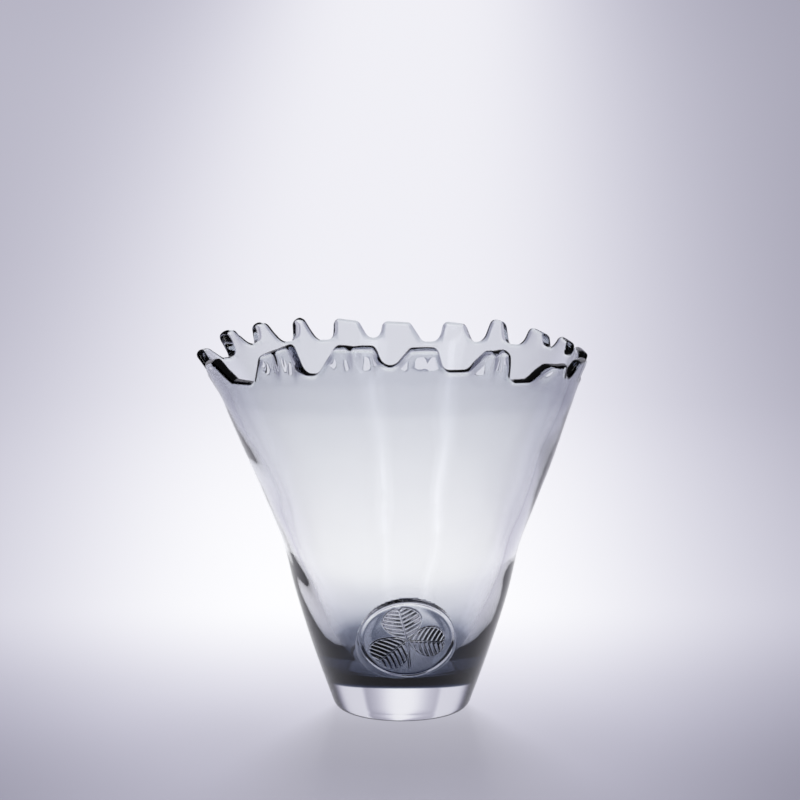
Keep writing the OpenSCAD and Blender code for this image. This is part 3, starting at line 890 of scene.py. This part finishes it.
class VASE_OT_seal(bpy.types.Operator):
    """Press the seal onto the wall: squeezed pad, rolled edge and three ribbed leaves"""

    bl_idname = "vase.seal"
    bl_label = "Leaf seal"

    def execute(self, context):
        seal = context.scene.vase_seal
        vase = Vase(context.scene.vase_shape)
        place = SealPlace(seal, vase)
        turn = np.arange(SEAL_COLUMNS) / SEAL_COLUMNS
        all_round = np.ones(SEAL_COLUMNS)
        radius = seal.diameter / 2
        rows = []
        for r in np.linspace(0, radius - seal.edge, SEAL_RINGS + 1)[:-1]:
            lift = seal.face + seal.relief * place.sprig(r, turn)
            rows.append(place.on_wall(turn, r * all_round, lift, place.FLATNESS))
        for within, rise in place.RIM_SHARES:
            r = radius - seal.edge * within
            rows.append(place.on_wall(turn, r * all_round, seal.face * rise * all_round, place.FLATNESS))
        spread = place.spread(turn)
        most = np.minimum(spread / seal.spread, place.PAD_MOST)
        for k, rise in place.PAD_SHARES:
            lift = seal.face * (place.PAD_EDGE + rise * most)
            rows.append(place.on_wall(turn, radius + spread * k, lift, 0.0))
        for r in place.UNDER_SHARES:
            rows.append(place.on_wall(turn, (radius + spread) * r, place.UNDER_LIFT * all_round, 0.0))
        piece = blown_grid("leaf_seal_pressed", np.array(rows))
        finish_clear(piece, context.scene.vase_finish, place, SEAL_FUSED)
        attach(piece, "root")
        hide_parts("leaf_seal")
        return {"FINISHED"}


class Sums:
    """Joins maths nodes, so that a formula reads as one."""

    def __init__(self, tree):
        self.nodes, self.links = tree.nodes, tree.links

    def do(self, kind, *values):
        """One operation on plain numbers and sockets, and the socket with its result."""
        node = self.nodes.new("ShaderNodeMath")
        node.operation = kind
        for socket, value in zip(node.inputs, values):
            if isinstance(value, (int, float)):
                socket.default_value = value
            else:
                self.links.new(value, socket)
        return node.outputs[0]

    def ease(self, value, low, high):
        """0 below low, 1 above high, smooth between them."""
        node = self.nodes.new("ShaderNodeMapRange")
        node.interpolation_type = "SMOOTHSTEP"
        fill(node, {"From Min": low, "From Max": high})
        self.links.new(value, node.inputs["Value"])
        return node.outputs[0]

    def fade(self, value, width, power):
        """1 at zero, half at the width, and on towards 0."""
        part = self.do("POWER", self.do("DIVIDE", self.do("ABSOLUTE", value), width), power)
        return self.do("DIVIDE", 1.0, self.do("ADD", part, 1.0))


# The painted glow behind the vase, a pool of light painted on the sweep, in metres: half its width at the
# vase, what it gains per metre away and loses per metre up, the least that is left, where all this begins in
# front of the vase, and how sharply it ends
GLOW, GLOW_GAIN, GLOW_LOSS, GLOW_LEAST, GLOW_FRONT, GLOW_SHARP = 0.188, 0.157, -0.392, 0.15, -0.3, 3.27
# Its middle, and how that moves per metre away and per metre up
MIDDLE, MIDDLE_AWAY, MIDDLE_UP = -0.016, -0.02, 0.12
# Beside the glow: the painted brightness on the floor, its gain up to a height, and its change per metre to
# the right
DIM, DIM_GAIN, DIM_HEIGHT, DIM_RIGHT = 0.352, 0.09, 0.5, -0.2
# The near floor's painted brightness and where it reaches full, and the far wall's loss and where it comes in
NEAR, NEAR_ENDS, FAR_LOSS, FAR_ENDS = 0.467, (-0.168, 0.247), 0.142, (0.0, 2.0)
# The painted bright flanks: how the picture widens per metre away, where they begin beside it, and from how
# far back
PICTURE_WIDENS, FLANK_ENDS, FLANK_BACK = 0.2154, (0.20, 0.34), (0.4, 0.8)
# The painted dark of the studio beyond: half the width that stays lit, how sharply that ends, and where the
# front goes dark
LIT, LIT_SHARP, DARK_FRONT = 1.42, 18.0, (-0.35, -1.1)
# The painted glow behind the camera: half its width, how sharply it ends, and where it comes in
REAR, REAR_SHARP, REAR_ENDS = 0.6, 3.0, (-0.7, -1.2)
# Strength of the painted glow at level 0, which makes up for the tints' own brightness, and what it loses to
# level 1
STRENGTH, STRENGTH_LOSS = 1.401, -0.385
# Where the floor goes over from light that falls on it to its own painted glow
OWN_GLOW_ENDS = (-0.05, 0.06)
SWEEP_ROUGHNESS = 0.22


def painted_glow_level(sums, x, y, z, studio):
    """Brightness painted on the sweep: a broad pool of light painted behind the vase that widens with the
    distance, dim elsewhere.
    """
    back = sums.do("MAXIMUM", y, GLOW_FRONT)
    width = sums.do("MULTIPLY_ADD", back, GLOW_GAIN, GLOW)
    width = sums.do("MAXIMUM", sums.do("MULTIPLY_ADD", z, GLOW_LOSS, width), GLOW_LEAST)
    middle = sums.do("MULTIPLY_ADD", z, MIDDLE_UP, sums.do("MULTIPLY_ADD", back, MIDDLE_AWAY, MIDDLE))
    side = sums.fade(sums.do("SUBTRACT", x, middle), width, GLOW_SHARP)
    base = sums.do("MULTIPLY_ADD", sums.ease(z, 0.0, DIM_HEIGHT), DIM_GAIN, DIM)
    base = sums.do("MULTIPLY", base, sums.do("MULTIPLY_ADD", x, DIM_RIGHT, 1.0))
    across = sums.do("ADD", base, sums.do("MULTIPLY", side, sums.do("SUBTRACT", 1.0, base)))
    near = sums.do("MULTIPLY_ADD", sums.ease(y, *NEAR_ENDS), 1.0 - NEAR, NEAR)
    far = sums.do("SUBTRACT", 1.0, sums.do("MULTIPLY", sums.ease(y, *FAR_ENDS), FAR_LOSS))
    level = sums.do("MULTIPLY", across, sums.do("MULTIPLY", near, far))
    # Outside the picture the sweep's flanks are painted bright, which lights the solid base from its sides
    beyond = sums.do("MULTIPLY_ADD", y, -PICTURE_WIDENS, sums.do("ABSOLUTE", x))
    flank = sums.do("MULTIPLY", sums.ease(beyond, *FLANK_ENDS), sums.ease(y, *FLANK_BACK))
    lift = sums.do("SUBTRACT", studio.flank_glow, level)
    level = sums.do("MULTIPLY_ADD", flank, lift, level)
    # Further round and behind the camera the sweep is painted dark, as a dark studio, which draws the glass's
    # black edges
    level = sums.do("MULTIPLY", level, sums.fade(x, LIT, LIT_SHARP))
    front = sums.do("SUBTRACT", 1.0, sums.ease(y, *DARK_FRONT))
    level = sums.do("MULTIPLY", level, front)
    # A glow behind the camera is painted on the sweep as well
    before = sums.do("MULTIPLY", sums.fade(x, REAR, REAR_SHARP), sums.ease(y, *REAR_ENDS))
    return sums.do("ADD", level, sums.do("MULTIPLY", before, studio.front_glow))


def backdrop_material(studio):
    """Sweep with a painted glow: it glows where the eye or glass sees it, its colour carries the same painted
    brightness, and it takes the vase's shadow.
    """
    material, nodes, links, shader = principled("painted_glow_sweep")
    sums = Sums(material.node_tree)
    split = nodes.new("ShaderNodeSeparateXYZ")
    links.new(nodes.new("ShaderNodeTexCoord").outputs["Object"], split.inputs[0])
    x, y, z = split.outputs
    level = painted_glow_level(sums, x, y, z, studio)
    # The tint follows the painted glow: bluish where it is dim, white where it is bright
    tint = nodes.new("ShaderNodeMix")
    tint.data_type = "RGBA"
    fill(tint, {"A": (*studio.painted_dim_colour, 1), "B": (*studio.painted_bright_colour, 1)})
    links.new(level, tint.inputs["Factor"])
    # The tints are darker where they are bluer, so the strength makes up for it
    strength = sums.do("MULTIPLY", level, sums.do("MULTIPLY_ADD", level, STRENGTH_LOSS, STRENGTH))
    glow = nodes.new("ShaderNodeEmission")
    links.new(tint.outputs["Result"], glow.inputs["Color"])
    links.new(strength, glow.inputs["Strength"])
    # The floor's colour under the lamps is the tint times the strength, so it carries the painted glow too
    shade = nodes.new("ShaderNodeMix")
    shade.data_type = "RGBA"
    shade.blend_type = "MULTIPLY"
    shade.inputs["Factor"].default_value = 1.0
    links.new(tint.outputs["Result"], shade.inputs["A"])
    links.new(strength, shade.inputs["B"])
    links.new(shade.outputs["Result"], shader.inputs["Base Color"])
    fill(shader, {"Roughness": SWEEP_ROUGHNESS, "Specular IOR Level": 0.5})
    path = nodes.new("ShaderNodeLightPath")
    seen = sums.do("MAXIMUM", path.outputs["Is Camera Ray"], path.outputs["Is Glossy Ray"])
    seen = sums.do("MAXIMUM", seen, path.outputs["Is Transmission Ray"])
    blend = nodes.new("ShaderNodeMixShader")
    # In front of the vase more of the floor's brightness is light that falls on it, so it takes the shadow
    behind = sums.ease(y, *OWN_GLOW_ENDS)
    own = sums.do("MULTIPLY_ADD", behind, 1.0 - studio.glow_share, studio.glow_share)
    links.new(sums.do("MULTIPLY", seen, own), blend.inputs["Fac"])
    links.new(shader.outputs["BSDF"], blend.inputs[1])
    links.new(glow.outputs["Emission"], blend.inputs[2])
    links.new(blend.outputs["Shader"], nodes["Material Output"].inputs["Surface"])
    return material


# Strength of the light from beyond the sweep
SURROUNDINGS = 0.08
# The sweep, in metres: radii of its level rings and of its cove, its height, and how far under the foot it is
SWEEP_RADII, COVE, SWEEP_TALL, FLOOR_DROP = (0.0, 0.05, 0.15, 0.3, 0.6, 1.0, 1.5), 0.5, 1.6, 0.05 * MM
# Softboxes, one within the other: width and radiance, their height and places, and the gain of the left ones
SOFTBOXES, SOFTBOX_TALL = [(0.09, 1.20), (0.20, 0.55), (0.32, 0.45)], 0.6
SOFTBOX_RIGHT, SOFTBOX_LEFT, LEFT_GAIN = (0.34, -0.89, 0.72), (-0.64, -0.71, 0.72), 1.3
# What the softboxes and the overhead lamp point at
LIT_MIDDLE = (0, 0, 0.1)
SENSOR = 36.0
GLASS_BOUNCES, CLEAR_BOUNCES = 32, 16


def surroundings():
    """Dim even light from everything beyond the sweep."""
    world = bpy.data.worlds.new("studio_surroundings")
    bpy.context.scene.world = world
    world.use_nodes = True
    fill(world.node_tree.nodes["Background"], {"Color": (0.9, 0.9, 1.0, 1), "Strength": SURROUNDINGS})


def sweep(studio):
    """Floor that turns up into a wall all round, past every camera."""
    even = np.arange(SWEEP_COLUMNS) / SWEEP_COLUMNS
    rows = [ring(even, r, -FLOOR_DROP) for r in SWEEP_RADII]
    for a in np.radians([15, 30, 45, 60, 75, 90]):
        rows.append(ring(even, SWEEP_RADII[-1] + COVE * math.sin(a), COVE * (1 - math.cos(a)) - FLOOR_DROP))
    rows.append(ring(even, SWEEP_RADII[-1] + COVE, SWEEP_TALL - FLOOR_DROP))
    rows = np.array(rows)
    piece = blown_grid("floor_and_sweep", rows)
    piece.data.materials.append(backdrop_material(studio))


def box_light(name, place, target, wide, tall, radiance):
    """A softbox that shines from place towards target."""
    deselect_all()
    bpy.ops.object.light_add(type="AREA", location=place)
    lamp = bpy.context.object
    lamp.name = name
    lamp.data.shape = "RECTANGLE"
    lamp.data.size, lamp.data.size_y = wide, tall
    lamp.data.energy = radiance * math.pi * wide * tall
    away = lamp.location - type(lamp.location)(target)
    lamp.rotation_euler = away.to_track_quat("Z", "Y").to_euler()
    lamp.visible_camera = False
    return lamp


class VASE_OT_stage(bpy.types.Operator):
    """Set up the floor, the light and the camera"""

    bl_idname = "vase.stage"
    bl_label = "Stage"

    def execute(self, context):
        studio = context.scene.vase_studio
        deselect_all()
        sweep(studio)
        surroundings()
        for wide, radiance in SOFTBOXES:
            box_light("softbox_right", SOFTBOX_RIGHT, LIT_MIDDLE, wide, SOFTBOX_TALL, radiance)
            box_light("softbox_left", SOFTBOX_LEFT, LIT_MIDDLE, wide, SOFTBOX_TALL, LEFT_GAIN * radiance)
        overhead = box_light("overhead", (0.0, 0.15, 1.3), LIT_MIDDLE, wide=0.35, tall=0.35, radiance=12.0)
        rear = box_light(
            "floor_from_behind", (0.0, 0.95, 0.62), (0, -0.1, 0), wide=0.30, tall=0.25, radiance=80.0
        )
        for lamp in (overhead, rear):
            lamp.visible_glossy = lamp.visible_transmission = False
        deselect_all()
        tilt = math.pi / 2 - studio.pitch
        bpy.ops.object.camera_add(location=(0, -studio.distance, studio.camera_height), rotation=(tilt, 0, 0))
        camera = bpy.context.object
        camera.name = "camera"
        camera.data.sensor_width = SENSOR
        camera.data.lens = SENSOR * studio.focal
        camera.data.shift_x = studio.side_shift
        camera.data.clip_start = 0.01
        context.scene.camera = camera
        context.scene.view_settings.view_transform = "Standard"
        context.scene.cycles.max_bounces = GLASS_BOUNCES
        context.scene.cycles.transmission_bounces = GLASS_BOUNCES
        context.scene.cycles.transparent_max_bounces = CLEAR_BOUNCES
        return {"FINISHED"}


class VASE_PT_panel(bpy.types.Panel):
    """Lists the pieces of the vase and its stage"""

    bl_idname = "VASE_PT_panel"
    bl_label = "Cut rim vase"
    bl_space_type = "VIEW_3D"
    bl_region_type = "UI"
    bl_category = "Vase"

    def draw(self, context):
        layout = self.layout
        for group in GROUPS:
            values = getattr(context.scene, group)
            box = layout.box()
            for key in values.__annotations__:
                box.prop(values, key)
        for kind in OPERATORS:
            layout.operator(kind.bl_idname)


GROUPS = {
    "vase_shape": VaseShape,
    "vase_seal": SealShape,
    "vase_finish": GlassFinish,
    "vase_studio": StudioSetup,
}
OPERATORS = (VASE_OT_clear, VASE_OT_smoke, VASE_OT_seal, VASE_OT_stage)


def register():
    """Registers the properties, the operators and the panel."""
    for key, group in GROUPS.items():
        bpy.utils.register_class(group)
        setattr(bpy.types.Scene, key, bpy.props.PointerProperty(type=group))
    for kind in (*OPERATORS, VASE_PT_panel):
        bpy.utils.register_class(kind)


def unregister():
    """Takes them out again."""
    for kind in reversed((*OPERATORS, VASE_PT_panel)):
        bpy.utils.unregister_class(kind)
    for key, group in reversed(GROUPS.items()):
        delattr(bpy.types.Scene, key)
        bpy.utils.unregister_class(group)


def main():
    """Builds the vase and its stage."""
    register()
    bpy.ops.vase.clear()
    bpy.ops.vase.smoke()
    bpy.ops.vase.seal()
    bpy.ops.vase.stage()


if __name__ == "__main__":
    main()
